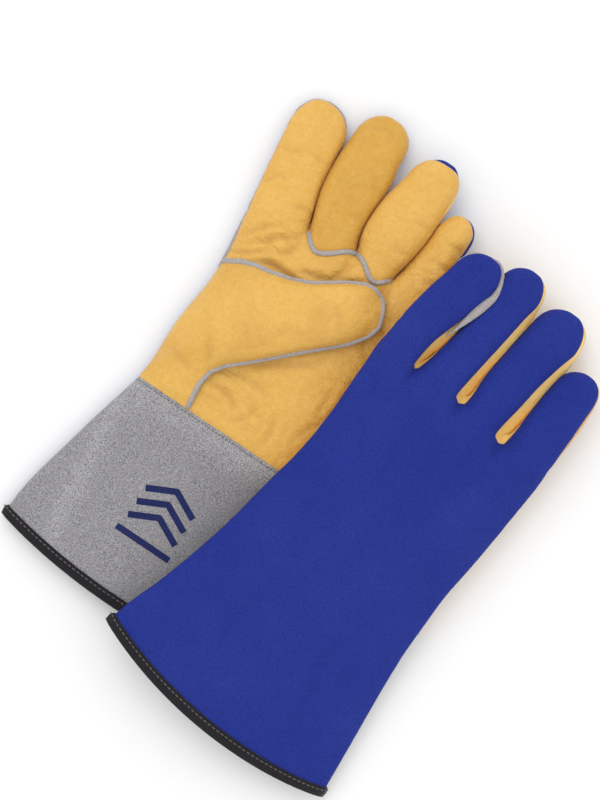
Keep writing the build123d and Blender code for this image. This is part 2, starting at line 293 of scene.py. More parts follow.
class Skin:
    """A mesh put together from grids that share their edges, with a label on every face."""

    def __init__(self):
        self.points, self.quads, self.labels, self.spans = [], [], [], {}
        self.count = 0

    def add(self, name, grid, label, flip=False):
        """Adds a grid of points, of shape (rows, columns, 3). label is one name or one for each face."""
        rows, columns = grid.shape[:2]
        quads = grid_quads(rows, columns, self.count)
        self.quads.append(quads[:, ::-1] if flip else quads)
        self.labels.append(np.broadcast_to(np.asarray(label, dtype=object), (len(quads),)))
        self.spans[name] = (self.count, rows, columns)
        self.points.append(grid.reshape(-1, 3))
        self.count += rows * columns

    def weld(self):
        """Joins points that coincide."""
        points = np.concatenate(self.points)
        _, first, back = np.unique(np.round(points, 3), axis=0, return_index=True, return_inverse=True)
        self.points = points[first]
        self.back = back.ravel()
        self.quads = self.back[np.concatenate(self.quads)]
        self.labels = np.concatenate(self.labels)

    def index(self, name):
        """The point numbers of a grid, in its rows and columns."""
        start, rows, columns = self.spans[name]
        return self.back[start : start + rows * columns].reshape(rows, columns)

    def normals(self):
        """Outward unit normals at the points."""
        p = self.points[self.quads]
        face = np.cross(p[:, 2] - p[:, 0], p[:, 3] - p[:, 1])
        total = np.zeros_like(self.points)
        for k in range(4):
            np.add.at(total, self.quads[:, k], face)
        return unit(total)

    def relax(self, rounds, amount):
        """Moves each point towards the middle of its neighbours by a share, amount, which may vary."""
        pairs = np.concatenate([self.quads[:, [k, (k + 1) % 4]] for k in range(4)])
        pairs = pairs[pairs[:, 0] != pairs[:, 1]]
        edges = np.concatenate([pairs, pairs[:, ::-1]])
        degree = np.maximum(np.bincount(edges[:, 0], minlength=len(self.points)), 1)[:, None]
        amount = np.broadcast_to(amount, (len(self.points),))[:, None]
        for _ in range(rounds):
            total = np.zeros_like(self.points)
            np.add.at(total, edges[:, 0], self.points[edges[:, 1]])
            self.points = mix(self.points, total / degree, amount)

    def seams(self):
        """Points where faces of different panels meet."""
        panels = {name: k for k, name in enumerate(sorted({panel_of(n) for n in set(self.labels)}))}
        number = np.array([panels[panel_of(n)] for n in self.labels])
        low = np.full(len(self.points), 99)
        high = np.full(len(self.points), -1)
        for k in range(4):
            np.minimum.at(low, self.quads[:, k], number)
            np.maximum.at(high, self.quads[:, k], number)
        return np.flatnonzero(high > low)


def distances(points, targets):
    """The distance from each point to the nearest target."""
    tree = kdtree.KDTree(len(targets))
    for k, target in enumerate(targets):
        tree.insert(target, k)
    tree.balance()
    return np.array([tree.find(p)[2] for p in points])


def make_object(name, points, faces, matrix, material, flip, normals, fields):
    """A smooth mesh object in the row frame from points in a glove's frame."""
    used, back = np.unique(faces, return_inverse=True)
    faces = back.reshape(faces.shape)
    if flip:
        faces = faces[:, ::-1]
    lists = [[v for k, v in enumerate(face) if v != face[k - 1]] for face in faces.tolist()]
    turn = np.array(matrix)
    placed = (points[used] @ turn[:3, :3].T + turn[:3, 3]) * MM
    name = name.replace(" ", "_")
    mesh = bpy.data.meshes.new(name)
    mesh.from_pydata(placed.tolist(), [], [face for face in lists if len(face) > 2])
    mesh.polygons.foreach_set("use_smooth", [True] * len(mesh.polygons))
    for field, values in (fields or {}).items():
        attribute = mesh.attributes.new(field, "FLOAT", "POINT")
        attribute.data.foreach_set("value", values[used].astype(np.float32))
    if normals is not None:
        mesh.normals_split_custom_set_from_vertices((normals[used] @ turn[:3, :3].T).tolist())
    mesh.materials.append(material)
    thing = bpy.data.objects.new(name, mesh)
    bpy.context.collection.objects.link(thing)
    return thing


def resample(line, step):
    """Points about step apart along a line, and the direction of the line at each."""
    line = np.asarray(line, float)
    length = np.concatenate([[0], np.cumsum(np.linalg.norm(np.diff(line, axis=0), axis=1))])
    count = max(int(length[-1] / step), 2)
    at = np.linspace(0, length[-1], count + 1)
    points = np.stack([np.interp(at, length, line[:, k]) for k in range(line.shape[1])], axis=1)
    return points, unit(np.gradient(points, axis=0))


def spaced(line, count):
    """Points at count + 1 even places along a line in plan."""
    fine = resample(line, 0.5)[0]
    at = np.linspace(0, len(fine) - 1, count + 1)
    return np.stack([np.interp(at, np.arange(len(fine)), fine[:, k]) for k in (0, 1)], axis=1)


def ring_quads(rings, sides):
    """Quads of a tube of points laid out ring by ring."""
    i, j = np.meshgrid(np.arange(rings - 1), np.arange(sides), indexing="ij")
    a, b = (i * sides + j).ravel(), (i * sides + (j + 1) % sides).ravel()
    return np.stack([a, b, b + sides, a + sides], axis=1)


def tube_points(line, up, width, height, closed):
    """A tube of oval section along a line, its height along up. closed says which ends are."""
    sides = 10
    ahead = unit(np.gradient(line, axis=0))
    side = unit(np.cross(ahead, up))
    over = np.cross(side, ahead)
    scale = np.ones(len(line))
    scale[[0, -1]] = np.where(closed, 0.02, 1)
    angle = np.linspace(0, 2 * pi, sides, endpoint=False)[None, :, None]
    ring = side[:, None] * np.cos(angle) * width / 2 + over[:, None] * np.sin(angle) * height / 2
    points = line[:, None] + ring * scale[:, None, None]
    return points.reshape(-1, 3), ring_quads(len(line), sides)[:, ::-1]


def stitch_points(line, up, spacing, length, radius):
    """Short rounded stitches along a line."""
    centres, ahead = resample(line, spacing)
    at = np.linspace(0, 1, len(centres))
    key = np.linspace(0, 1, len(up))
    up = np.stack([np.interp(at, key, up[:, k]) for k in range(3)], axis=1)
    side = unit(np.cross(ahead, up))
    sides = 6
    # Each ring's place along the stitch and its share of the full width
    rings = [(-0.5, 0.35), (-0.36, 0.9), (0.0, 1.0), (0.36, 0.9), (0.5, 0.35)]
    points = []
    for along, wide in rings:
        rise = (0.35 * (1 - 4 * along * along) - 0.2) * radius
        for turn in np.linspace(0, 2 * pi, sides, endpoint=False):
            offset = side * np.cos(turn) + up * np.sin(turn) * 0.8
            points.append(centres + ahead * along * length + offset * wide * radius + up * rise)
    points = np.stack(points, axis=1)
    first = np.arange(len(centres)) * points.shape[1]
    quads = ring_quads(len(rings), sides) + first[:, None, None]
    return points.reshape(-1, 3), quads.reshape(-1, 4)


# Materials ------------------------


def rgb(red, green, blue):
    """A colour given as on a screen, 0 to 255, as linear light."""
    shares = [c / 255 for c in (red, green, blue)]
    linear = [c / 12.92 if c <= 0.04045 else ((c + 0.055) / 1.055) ** 2.4 for c in shares]
    return (*linear, 1.0)


class Finish:
    """A material and the nodes it is built from, in object coordinates."""

    def __init__(self, name, **fixed):
        self.material = bpy.data.materials.new(name)
        self.material.use_nodes = True
        self.tree = self.material.node_tree
        self.shader = self.tree.nodes["Principled BSDF"].inputs
        for key, value in fixed.items():
            self.feed(self.shader[key.replace("_", " ")], value)
        self.coords = self.node("TexCoord").outputs["Object"]

    def feed(self, socket, value):
        """Links an output to a socket, or sets the socket to a value."""
        if isinstance(value, bpy.types.NodeSocket):
            self.tree.links.new(value, socket)
        else:
            socket.default_value = value

    def node(self, kind, inputs=None, **settings):
        """A shader node with its settings, and values or links for its inputs."""
        made = self.tree.nodes.new("ShaderNode" + kind)
        for key, value in settings.items():
            setattr(made, key, value)
        for key, value in (inputs or {}).items():
            self.feed(made.inputs[key], value)
        return made

    def noise(self, scale, detail=2.0, rough=0.5):
        """A noise texture's value. scale is in features per metre."""
        inputs = {"Vector": self.coords, "Scale": scale, "Detail": detail, "Roughness": rough}
        return self.node("TexNoise", inputs).outputs["Fac"]

    def field(self, name):
        """The value of a field that make_object wrote on the points."""
        return self.node("Attribute", attribute_name=name).outputs["Fac"]

    def remap(self, value, low, high, out_low=0.0, out_high=1.0):
        """A value scaled from one range to another and held inside it."""
        inputs = {"Value": value, "From Min": low, "From Max": high, "To Min": out_low, "To Max": out_high}
        return self.node("MapRange", inputs).outputs["Result"]

    def calculate(self, how, a, b=0.0):
        """The result of a maths node."""
        return self.node("Math", {0: a, 1: b}, operation=how).outputs[0]

    def tint(self, colour, share, strength, other):
        """A colour mixed towards another by a share times a strength."""
        share = self.calculate("MULTIPLY", share, strength)
        return self.node("Mix", {0: share, 6: colour, 7: other}, data_type="RGBA").outputs[2]

    def made_of(self, colour, *bumps):
        """The material, with its colour and bumps of (height, depth in metres) on top of each other."""
        self.feed(self.shader["Base Color"], colour)
        inputs = {"Strength": 1.0}
        for height, depth in bumps:
            inputs.update({"Height": height, "Distance": depth})
            inputs["Normal"] = self.node("Bump", inputs).outputs["Normal"]
        self.feed(self.shader["Normal"], inputs["Normal"])
        return self.material


def grain_leather(name, light, dark, scuff):
    """Smooth yellow cowhide: fine pebbled grain, soft colour drift, and painted shade that darkens the
    creases.
    """
    hide = Finish(name, Specular_IOR_Level=0.42, Sheen_Weight=0.08)
    drift = hide.remap(hide.noise(28, 3), 0.32, 0.68)
    fine = hide.remap(hide.noise(700, 4, 0.7), 0.3, 0.7)
    mottle = hide.remap(hide.noise(240, 3, 0.6), 0.35, 0.7)
    stretched = hide.node("Mapping", {"Vector": hide.coords, "Scale": (0.4, 1.1, 1.0)}).outputs["Vector"]
    inputs = {"Vector": stretched, "Scale": 90.0, "Detail": 1.0, "Distortion": 0.7}
    swirl = hide.node("TexNoise", inputs).outputs["Fac"]
    lines = hide.calculate("ABSOLUTE", hide.calculate("SUBTRACT", swirl, 0.5))
    creases = hide.calculate("MULTIPLY", hide.remap(lines, 0.0, 0.07, -1.0, 0.0), hide.field("crumple"))
    colour = hide.tint(light, drift, 0.55, dark)
    colour = hide.tint(colour, fine, 0.55, scuff)
    colour = hide.tint(colour, mottle, 0.36, dark)
    # Painted shade: darker towards brown by the depth of creases and seam grooves.
    colour = hide.tint(colour, hide.field("fold_shade"), 0.75, CREASE_SHADE_BROWN)
    # Painted shade: the fine crumple lines are darkened a little towards brown.
    colour = hide.tint(colour, creases, -0.1, CREASE_SHADE_BROWN)
    pores = hide.node("TexVoronoi", {"Vector": hide.coords, "Scale": 760.0}, feature="SMOOTH_F1")
    pebbles = hide.calculate("MULTIPLY", pores.outputs["Distance"], -1.0)
    swells, grit = hide.noise(170, 4, 0.6), hide.noise(1500, 2)
    hide.feed(hide.shader["Roughness"], hide.remap(hide.noise(60, 2), 0.3, 0.7, 0.46, 0.6))
    return hide.made_of(colour, (creases, 0.00035), (swells, 0.0009), (pebbles, 0.0003), (grit, 0.00015))


def suede(name, base, light, dark, speckle, patch):
    """Split cowhide, matt and short-napped, brushed lighter and darker in patches, with painted shade in
    its creases and a painted shadow on the cuff.
    """
    hide = Finish(name, Roughness=0.93, Specular_IOR_Level=0.2, Sheen_Weight=0.25, Sheen_Roughness=0.5,
                  Sheen_Tint=light)
    patches = hide.remap(hide.noise(patch, 4, 0.6), 0.34, 0.66)
    fibres = hide.remap(hide.noise(1200, 4, 0.8), 0.4, 0.62)
    colour = hide.tint(base, patches, 0.2, light)
    # Painted shadow: darker on the cuff towards the other glove, less a lighter brushed streak.
    colour = hide.tint(colour, hide.field("nap_and_shadow"), 1.0, dark)
    colour = hide.tint(colour, fibres, speckle, dark)
    # Painted shade: darker by the depth of creases and seam grooves.
    colour = hide.tint(colour, hide.field("fold_shade"), 0.55, dark)
    lumps, hairs = hide.noise(210, 5, 0.7), hide.noise(1300, 4, 0.8)
    return hide.made_of(colour, (lumps, 0.0006), (hairs, 0.0005))


def woven(name, base, light, ribs):
    """Woven tape or thread of fine crossing ribs, given per metre."""
    cloth = Finish(name, Roughness=0.85, Specular_IOR_Level=0.25, Sheen_Weight=0.15)
    inputs = {"Vector": cloth.coords, "Scale": ribs / 6}
    warp, weft = (cloth.node("TexWave", inputs, bands_direction=axis).outputs["Fac"] for axis in "XY")
    weave = cloth.calculate("MULTIPLY", warp, weft)
    colour = cloth.tint(base, weave, 0.6, light)
    return cloth.made_of(colour, (weave, 0.0003), (cloth.noise(1200, 2), 0.0002))


def fleece(name, base, dark):
    """Napped cotton lining."""
    cloth = Finish(name, Roughness=1.0, Specular_IOR_Level=0.1, Sheen_Weight=0.4)
    tufts = cloth.noise(320, 5, 0.75)
    colour = cloth.tint(base, cloth.remap(tufts, 0.35, 0.65), 1.0, dark)
    return cloth.made_of(colour, (tufts, 0.0012))


# The brown painted into creases and seam grooves as shade.
CREASE_SHADE_BROWN = rgb(150, 98, 44)
GOLD = grain_leather("gold grain leather", rgb(219, 169, 72), rgb(207, 150, 51), rgb(229, 191, 110))
# Lighter leather for the strips between the fingers, brightened further as painted light to offset the
# shade on their steep sides.
PALE_AND_LIT = grain_leather("pale grain leather with painted light", rgb(255, 214, 122), rgb(246, 196, 100), rgb(255, 226, 158))
AMBER = grain_leather("amber grain leather", rgb(208, 155, 54), rgb(193, 135, 38), rgb(216, 178, 89))
BLUE = suede("blue split leather", rgb(35, 52, 147), rgb(62, 80, 176), rgb(17, 26, 90), 0.6, 18.0)
GREY = suede("grey split leather", rgb(186, 184, 186), rgb(212, 210, 211), rgb(94, 92, 98), 0.95, 40.0)
WELT = suede("welt leather", rgb(184, 178, 177), rgb(210, 206, 204), rgb(112, 106, 108), 0.6, 90.0)
PRINT = suede("navy print", rgb(34, 42, 92), rgb(60, 70, 120), rgb(18, 22, 56), 0.5, 60.0)
BLACK = woven("binding tape", rgb(16, 13, 18), rgb(52, 47, 52), 1500.0)
THREAD = woven("grey thread", rgb(98, 94, 96), rgb(126, 122, 124), 1800.0)
DARK_THREAD = woven("dark thread", rgb(70, 66, 70), rgb(104, 98, 100), 1800.0)
COTTON = fleece("cotton lining", rgb(226, 220, 206), rgb(196, 188, 172))


# One glove ------------------------


def swell(t, power):
    """The rounded profile of stuffed leather between two edges at t = -1 and 1."""
    return np.clip(1 - np.abs(t) ** power, 0, 1) ** SWELL


def edge_height(side, number, end):
    """Height of a finger's inner (0) or outer (1) edge, which is 0 at the glove's rim."""
    return 0.0 if (number, end) in ((0, 0), (3, 1)) else STRIP_EDGE[side]


def hump(side, number, tau, depth, level=1.0):
    """A finger's height at tau, from -1 to 1 across it. level is the share its edges keep of theirs."""
    a, b = edge_height(side, number, 0), edge_height(side, number, 1)
    return mix(mix(a, b, (tau + 1) / 2) * level, depth, swell(tau, FINGER_ROUND))


class Glove:
    """One glove's skin in its own frame, its pieces, and where it lies."""

    def __init__(self, facts):
        self.facts = facts
        self.side = facts["side"]
        move, turn = facts["place"]
        self.flip = self.side == "right"
        self.matrix = Matrix.Translation(SHIFT + Vector(move))
        for axis, angle in zip("XYZ", turn):
            self.matrix @= Matrix.Rotation(radians(angle), 4, axis)
        self.matrix @= Matrix.Diagonal((1, 1, -1 if self.flip else 1, 1))
        self.shorter = HINGE_Y[self.side] - HINGE_Y["left"]
        self.thumb_level = facts["palm_depth"][-1][1] + 1.4
        self.inner = soft_table(facts["inner_edge"])
        self.outer = soft_table(facts["outer_edge"])
        self.depths = {s: soft_table(facts[f"{s}_depth"], 15) for s in ("palm", "back")}
        self.bases = {s: self.base_line(facts[f"{s}_base"]) for s in ("palm", "back")}
        self.skin = Skin()
        self.hand_grids()
        for number, digit in enumerate(DIGITS):
            self.finger_grids(number, digit)
        self.skin.weld()
        self.shape_skin()

    def base_line(self, points):
        """Y of the finger bases across the hand, with ends that palm and back share."""
        table = soft_table(points, 0.016)
        first, last = points[0][1] - table(0.0), points[-1][1] - table(1.0)
        return lambda c: table(c) + first * (1 - smoothstep(c, 0, 0.1)) + last * smoothstep(c, 0.9, 1)

    def base_ends(self, base):
        """The five x places where finger bases begin and end, for a row of base heights."""
        return [self.inner(base[0, 0]), *self.facts["crotches"], self.outer(base[0, -1])]

    def world(self, x, y, z):
        """A point of the glove's frame in the row frame, in metres."""
        return self.matrix @ Vector((x, y, z)) * MM

    def hand_grids(self):
        """Palm and back of hand and cuff, from the hem to the finger bases."""
        facts = self.facts
        c = np.linspace(0, 1, 4 * FINGER_COLUMNS + 1)[None, :]
        hem = -facts["hem_bulge"] * (1 - (2 * c - 1) ** 2)
        low = np.linspace(0, 1, CUFF_ROWS + 1)[:, None]
        high = np.linspace(0, 1, PALM_ROWS + 1)[1:, None]
        for side, sign in SIDES:
            base = self.bases[side](c)
            y = np.concatenate([mix(hem, WRIST_Y, low), mix(WRIST_Y, base, high)])
            inner, outer = self.inner(y), self.outer(y)
            ends = self.base_ends(base)
            base_x = np.interp(c, np.linspace(0, 1, 5), ends)
            at_base = base_x + (inner - ends[0]) * np.maximum(1 - 4 * c, 0)
            at_base = at_base + (outer - ends[-1]) * np.maximum(4 * c - 3, 0)
            x = mix(mix(inner, outer, c), at_base, smoothstep(y, base - FAN_LENGTH, base))
            t = 2 * (x - inner) / (outer - inner) - 1
            if side == "palm":
                bulge = self.spill(8 * c - 7, y)
                x, base_x = x + bulge, base_x + bulge[-1:]
            plain = sign * self.depths[side](y) * swell(np.clip(t, -1, 1), facts[f"{side}_round"])
            lumps = np.zeros_like(x)
            depth = sign * facts[f"finger_{side}"][0]
            for number in range(4):
                tau = np.clip(c * 4 - number, 0, 1) * 2 - 1
                mine = (c * 4 >= number) & (c * 4 <= number + 1)
                lumps = np.where(mine, hump(side, number, tau, depth), lumps)
            z = mix(plain, lumps, smoothstep(y, base - facts["valley"][side], base) ** 1.5)
            grid = np.stack([x, y, z], axis=2)
            grid[-1] = np.stack([base_x[0], base[0], lumps[-1]], axis=1)
            labels = np.full((len(y) - 1, 4 * FINGER_COLUMNS), f"{side}_panel", dtype=object)
            if side == "palm":
                labels[:CUFF_ROWS] = "cuff_panel"
            self.skin.add(side, grid, labels.ravel(), flip=side == "back")

    def spill(self, tau, y):
        """How far the palm leather bulges out past its seam on the little-finger side."""
        inward = np.clip((1 - tau) / 0.3, 0, 1)
        return self.facts["spill"] * 4 * inward * (1 - inward) * smoothstep(y, 205, 235)

    def finger_edges(self, number, side):
        """Functions of y for a finger's two edges on the palm or back side."""
        slits = self.facts["slits"]
        before = 0 if side == "back" else -2
        inner, outer = soft_table(self.facts["index_edge"], 6), soft_table(self.facts["little_edge"], 6)
        if number > 0:
            inner = soft_table(slits[number - 1][-1], 4)
        if number < 3:
            outer = soft_table(slits[number][before], 4)
        return inner, outer

    def finger_grids(self, number, digit):
        """Front, back and side strips of one finger."""
        facts = self.facts
        tip_x, tip_y = facts["tips"][number]
        tau = np.linspace(-1, 1, FINGER_COLUMNS + 1)[None, :]
        c = (number + (tau + 1) / 2) / 4
        start = self.bases["back"](c).mean()
        low, high = self.finger_edges(number, "palm")
        round_y = tip_y - 0.53 * (high(start + 30) - low(start + 30))
        run = np.linspace(0, 1, FINGER_ROWS + 1)[:, None]
        turn = np.linspace(0, pi / 2, TIP_ROWS + 1)[1:, None]
        straight = np.concatenate([mix(start, round_y, run), mix(round_y, tip_y, np.sin(turn) ** 0.95)])
        shrink = np.concatenate([np.ones_like(run), np.cos(turn) ** facts["blunt"][number]])
        shrink[-1] = 0
        share = (straight - start) / (tip_y - start)
        axis = (low(straight) + high(straight)) / 2
        axis = mix(axis, tip_x, smoothstep(straight, round_y - 14, tip_y))
        curl = radians(facts["curls"][number]) * smoothstep(share, 0, 0.3)
        roll = radians(facts["rolls"][number]) * smoothstep(share, 0.05, 0.6)
        roll = roll * (1 - 0.4 * smoothstep(straight, round_y - 14, tip_y - 4))
        edges = {}
        for side, sign in SIDES:
            base = self.bases[side](c)
            low, high = self.finger_edges(number, side)
            y = straight + (base - start) * (1 - smoothstep(share, 0, 0.3))
            ends = self.base_ends(base)
            grown = smoothstep(share, 0, 0.022)
            left = mix(ends[number], low(np.minimum(y[:, :1], round_y)), grown)
            right = mix(ends[number + 1], high(np.minimum(y[:, -1:], round_y)), grown)
            x = axis + (mix(left, right, (tau + 1) / 2) - axis) * shrink
            first, last = facts[f"finger_{side}"]
            depth = sign * mix(first, last, smoothstep(share, 0, 0.35))
            level = 1 - smoothstep(straight, round_y, tip_y - 3)
            z = hump(side, number, tau, depth, level) * shrink**0.8
            if side == "back":
                y = y + facts["lips"][number] * 4 * shrink * (1 - shrink) * (1 - tau**4)
            elif number == 3:
                x = x + self.spill(tau, straight)
            y = y - z * np.sin(curl)
            off = x - axis
            x, z = axis + off * np.cos(roll) - z * np.sin(roll), off * np.sin(roll) + z * np.cos(roll)
            reach = straight - start
            z = z + np.tan(curl) * np.maximum(reach - 8 * (1 - np.exp(-reach / 8)), 0)
            grid = np.stack([x, y, z], axis=2)
            label = f"{digit}_front" if side == "palm" else f"{digit}_back"
            self.skin.add(f"{digit}_{side}", grid, label, flip=side == "back")
            edges[side] = (grid[:, 0], grid[:, -1])
        for end, name in ((0, "inner"), (1, "outer")):
            if edge_height("palm", number, end) == 0:
                continue
            s = np.linspace(0, 1, BAND_COLUMNS + 1)[None, :, None]
            band = mix(edges["palm"][end][:, None], edges["back"][end][:, None], s)
            tuck = np.sin(s[..., 0] * pi) * 0.9 * (1 if end == 0 else -1)
            open_row = smoothstep(np.arange(len(band))[:, None], 0, 5)
            band[:, :, 0] += tuck * open_row
            self.skin.add(f"{digit}_{name}", band, f"{digit}_fourchette", flip=end == 0)

    def shape_skin(self):
        """Rounds the skin, presses its seams in and adds folds."""
        skin = self.skin
        palm, back = skin.index("palm"), skin.index("back")
        hem = np.isin(np.arange(len(skin.points)), [palm[:HEM_ROWS], back[:HEM_ROWS]])
        crotch = np.array([skin.points[palm[-1, k * FINGER_COLUMNS]] for k in (1, 2, 3)])
        near = 1 - smoothstep(distances(skin.points, crotch), 5, 16)
        strips = np.unique(skin.quads[[label.endswith("_fourchette") for label in skin.labels]])
        free = np.where(hem, 0, 1.0)
        free[strips] = 0.12
        skin.relax(8, 0.5 * near * free)
        skin.relax(3, 0.45 * free)
        normals = skin.normals()
        x, y = skin.points[:, :2].T
        seams = skin.seams()
        away = distances(skin.points, skin.points[seams])
        pucker = 0.8 + 0.3 * waves(x, y, 9, 5)
        # A seam is a narrow groove with a soft swell beside it, weaker at the rim and in the strips.
        groove = np.exp(-((away / 1.7) ** 2))
        beside = np.exp(-(((away - 5) / 3) ** 2))
        rim = 1 - smoothstep(np.minimum(x - self.inner(y), self.outer(y) - x), 3, 9)
        hinge = HINGE_Y[self.side]
        firm = 1 - 0.8 * rim * (1 - smoothstep(y, hinge - 12, hinge + 12))
        firm[strips] = 0.15
        pinch = firm * pucker * (0.3 * beside - 0.8 * groove)
        up = normals[:, 2] > 0
        facing = np.abs(normals[:, 2])
        palm_marks = folds(x, y, PALM_FOLDS)
        back_marks = folds(x, y, BACK_FOLDS)
        soft = 0.4 * waves(x, y, 34, 1) + 0.12 * waves(x, y, 13, 2)
        loose = 0.4 * waves(x, y * 0.4, 26, 3) + 0.5 * waves(x * 0.5, y, 60, 4)
        height = np.where(up, palm_marks + soft, back_marks * 0.8 + loose)
        cuff = 1 - smoothstep(y, WRIST_Y - 25, WRIST_Y)
        height = height * mix(1, 0.7, cuff) * smoothstep(facing, 0.15, 0.6)
        height = np.where(hem, 0, height * smoothstep(away, 0, 6) + pinch)
        skin.points = skin.points + normals * height[:, None]
        if self.side == "left":
            skin.points[:, 2] = np.maximum(skin.points[:, 2], FLOOR_CONTACT)
        self.normals = skin.normals()
        marked = np.where(up, palm_marks, back_marks)
        # Painted shade: how deep each point lies in a crease or seam groove, which the materials darken by.
        self.fold_shade = np.clip(-marked * 0.4 - pinch * 0.5, 0, 1)
        # Painted shadow on the cuff: darker towards +x, where the right glove's shadow falls, over an even
        # darker tone, with a lighter brushed streak.
        streak = np.exp(-(((x + 54.6 + 0.13 * y) / 6) ** 2))
        self.nap_and_shadow = np.clip(0.28 * smoothstep(x, -30, 60) - 0.26 * streak + 0.22, 0, 1) * cuff * up
        self.crumple = np.zeros_like(x)
        for px, py, reach in CRUMPLED:
            self.crumple += np.exp(-(((x - px) ** 2 + (y - py) ** 2) / reach**2)) * up
        self.crumple = np.clip(self.crumple, 0, 1)
        palm_side = skin.quads[np.isin(skin.labels, ("palm_panel", "cuff_panel"))]
        self.palm_tree = BVHTree.FromPolygons(skin.points.tolist(), palm_side.tolist())

    def palm_height(self, x, y):
        """Heights of the palm under points in plan; off the palm, the height of its nearest edge."""
        out = []
        for px, py in zip(np.ravel(x), np.ravel(y)):
            hit = self.palm_tree.ray_cast(Vector((px, py, 200)), Vector((0, 0, -1)))[0]
            out.append((hit or self.palm_tree.find_nearest(Vector((px, py, 0)))[0]).z)
        return np.array(out).reshape(np.shape(x))

    # Pieces

    def piece(self, name, points, faces, material, digit=None, node=None, extra=False,
              normals=None, fields=None, inside_out=False):
        """A named piece that follows the hand, or for a digit is fixed where it lies, with no bend.

        It replaces the CAD node of its own name, or the one given, or none if it is extra.
        """
        side = self.side
        flip = self.flip != inside_out
        thing = make_object(f"{side} {name}", points, faces, self.matrix, material, flip, normals, fields)
        if digit is None:
            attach(thing, f"{side}_hand")
        elif digit == "thumb":
            reach = HINGE_REACH / 2
            start = self.world(THUMB_HINGE_X - reach, THUMB_HINGE_Y, self.thumb_level)
            end = self.world(THUMB_HINGE_X + reach, THUMB_HINGE_Y, self.thumb_level)
            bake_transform(thing)
        else:
            low = max(self.bases["palm"](np.linspace(0, 1, 50)).max(), HINGE_Y[side]) - 2
            start, end = self.world(0, low, 0), self.world(0, low + HINGE_REACH, 0)
            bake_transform(thing)
        if not extra:
            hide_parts(f"{side}_{node or name.replace(' ', '_')}")

    def panel(self, name, label, material, digit=None, node=None):
        """A piece made of the skin's faces with this label."""
        skin = self.skin
        faces = skin.quads[skin.labels == label]
        fields = {"fold_shade": self.fold_shade, "nap_and_shadow": self.nap_and_shadow, "crumple": self.crumple}
        self.piece(name, skin.points, faces, material, digit, node, normals=self.normals, fields=fields)

    def lining(self, name, chosen, digit=None):
        """The cotton inside the chosen faces of the skin."""
        points, faces = self.skin.points - self.normals * LEATHER, self.skin.quads[chosen]
        self.piece(name, points, faces, COTTON, digit, normals=-self.normals, inside_out=True)

    def panels(self):
        """Leather panels and linings of hand, cuff and fingers."""
        for name, material in (("palm panel", GOLD), ("back panel", BLUE), ("cuff panel", GREY)):
            self.panel(name, name.replace(" ", "_"), material)
        skin = self.skin
        hand = np.isin(skin.labels, ["palm_panel", "cuff_panel", "back_panel"])
        middle = skin.points[skin.quads].mean(axis=1)[:, 1]
        self.lining("cuff lining", hand & (middle < WRIST_Y))
        self.lining("hand lining", hand & (middle >= WRIST_Y))
        for digit in DIGITS:
            strips = "fourchettes" if digit in ("middle", "ring") else "fourchette"
            parts = [f"{digit}_front", f"{digit}_back", f"{digit}_fourchette"]
            self.panel(f"{digit} front", parts[0], AMBER if digit == "middle" else GOLD, digit)
            self.panel(f"{digit} back", parts[1], BLUE, digit)
            # The strips use the lighter leather that also carries painted light.
            self.panel(f"{digit} fourchettes", parts[2], PALE_AND_LIT, digit, f"{digit}_{strips}")
            self.lining(f"{digit} lining", np.isin(skin.labels, parts), digit)

    def binding(self):
        """The tape folded over the hem, and its stitches."""
        skin = self.skin
        palm, back = skin.index("palm"), skin.index("back")
        ring = np.concatenate([palm, back[:, -2:0:-1], palm[:, :1]], axis=1)
        points, normals = skin.points[ring], self.normals[ring]
        along = np.linalg.norm(points - points[:1], axis=2).mean(axis=1)
        rows = int(np.searchsorted(along, BINDING_WIDTH))
        out = unit(points[0] - points[2])
        bow = 0.75 + 0.35 * np.sin(pi * np.arange(rows + 1) / rows)
        profile = [points[rows] + normals[rows] * 0.1]
        profile += [points[k] + normals[k] * bow[k] for k in range(rows, -1, -1)]
        turned = ((0.7, 0.8), (-0.6, 1.3), (-LEATHER - 0.2, 0.8))
        profile += [points[0] + out * reach + normals[0] * level for level, reach in turned]
        profile += [points[k] - normals[k] * (LEATHER + bow[k]) for k in range(rows + 1)]
        profile.append(points[rows] - normals[rows] * LEATHER)
        grid = np.stack(profile)
        faces = grid_quads(*grid.shape[:2])[:, ::-1]
        self.piece("hem binding", grid.reshape(-1, 3), faces, BLACK)
        seam = rows - 1
        made, quads = stitch_points(points[seam] + normals[seam] * 1.1, normals[seam], 3.4, 2.2, 0.36)
        self.piece("binding stitches", made, quads, THREAD, extra=True)

    def wrist_seam(self):
        """The stitched seam between palm and cuff."""
        row = self.skin.index("palm")[CUFF_ROWS - 1]
        points, normals = self.skin.points[row], self.normals[row]
        made, quads = stitch_points(points + normals * 0.1, normals, 2.6, 2.0, 0.22)
        self.piece("wrist stitches", made, quads, DARK_THREAD, extra=True)

    def welt(self, name, line, size, digit=None, lift=0.0, closed=(True, True), bulge=(0, 0, 1), taper=0.0,
             extra=False):
        """A welt of this width and height along a line.

        bulge is where it widens, by how much and how long. taper is the share over which it runs out.
        """
        points = resample(line, WELT_STEP)[0]
        up = np.tile([0.0, 0.0, 1.0], (len(points), 1))
        wobble = 0.12 * waves(points[:, 0], points[:, 1], 9, 8)[:, None]
        along = np.linspace(0, 1, len(points))
        width = size[0] * (1 + bulge[1] * np.exp(-(((along - bulge[0]) / bulge[2]) ** 2)))
        if taper > 0:
            width = width * (1 - 0.75 * smoothstep(along, 1 - taper, 1))
        made, quads = tube_points(points + up * (lift + wobble), up, width[:, None, None], size[1], closed)
        self.piece(name, made, quads, WELT, digit, extra=extra)

